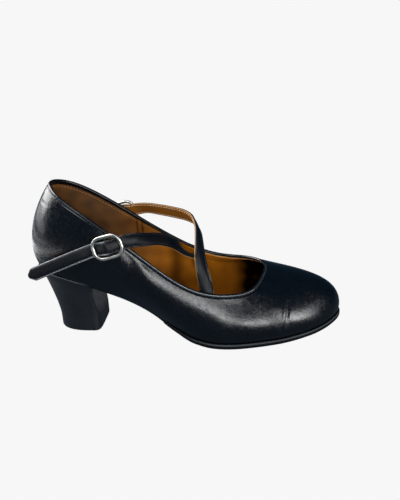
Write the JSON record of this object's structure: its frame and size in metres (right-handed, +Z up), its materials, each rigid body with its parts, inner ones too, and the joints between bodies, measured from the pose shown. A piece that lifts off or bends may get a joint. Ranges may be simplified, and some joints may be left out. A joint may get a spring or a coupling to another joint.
{
  "type": "flamenco shoe",
  "caption": "Black leather flamenco dance shoe for the right foot, with a covered block heel, crossed buckled instep straps, a low round throat and a tan leather lining.",
  "frame": {"origin": "centre of the heel's bottom face, on the floor", "axes": "+X from heel to toe, +Y to the inner (medial) side of the foot, +Z up"},
  "size_m": [0.2402, 0.0806, 0.1175],
  "materials": {
    "black_calf": "smooth glossy calf leather",
    "black_sole_leather": "dyed and waxed sole leather",
    "tan_lining_leather": "smooth lining leather",
    "polished_nickel": "polished nickel plate"
  },
  "bodies": {
    "root": {"upper": "black_calf", "outsole": "black_sole_leather", "heel": "black_calf", "insole": "tan_lining_leather", "strap_lateral": "black_calf", "strap_medial": "black_calf", "buckle_lateral": "polished_nickel", "buckle_medial": "polished_nickel"}
  },
  "joints": []
}
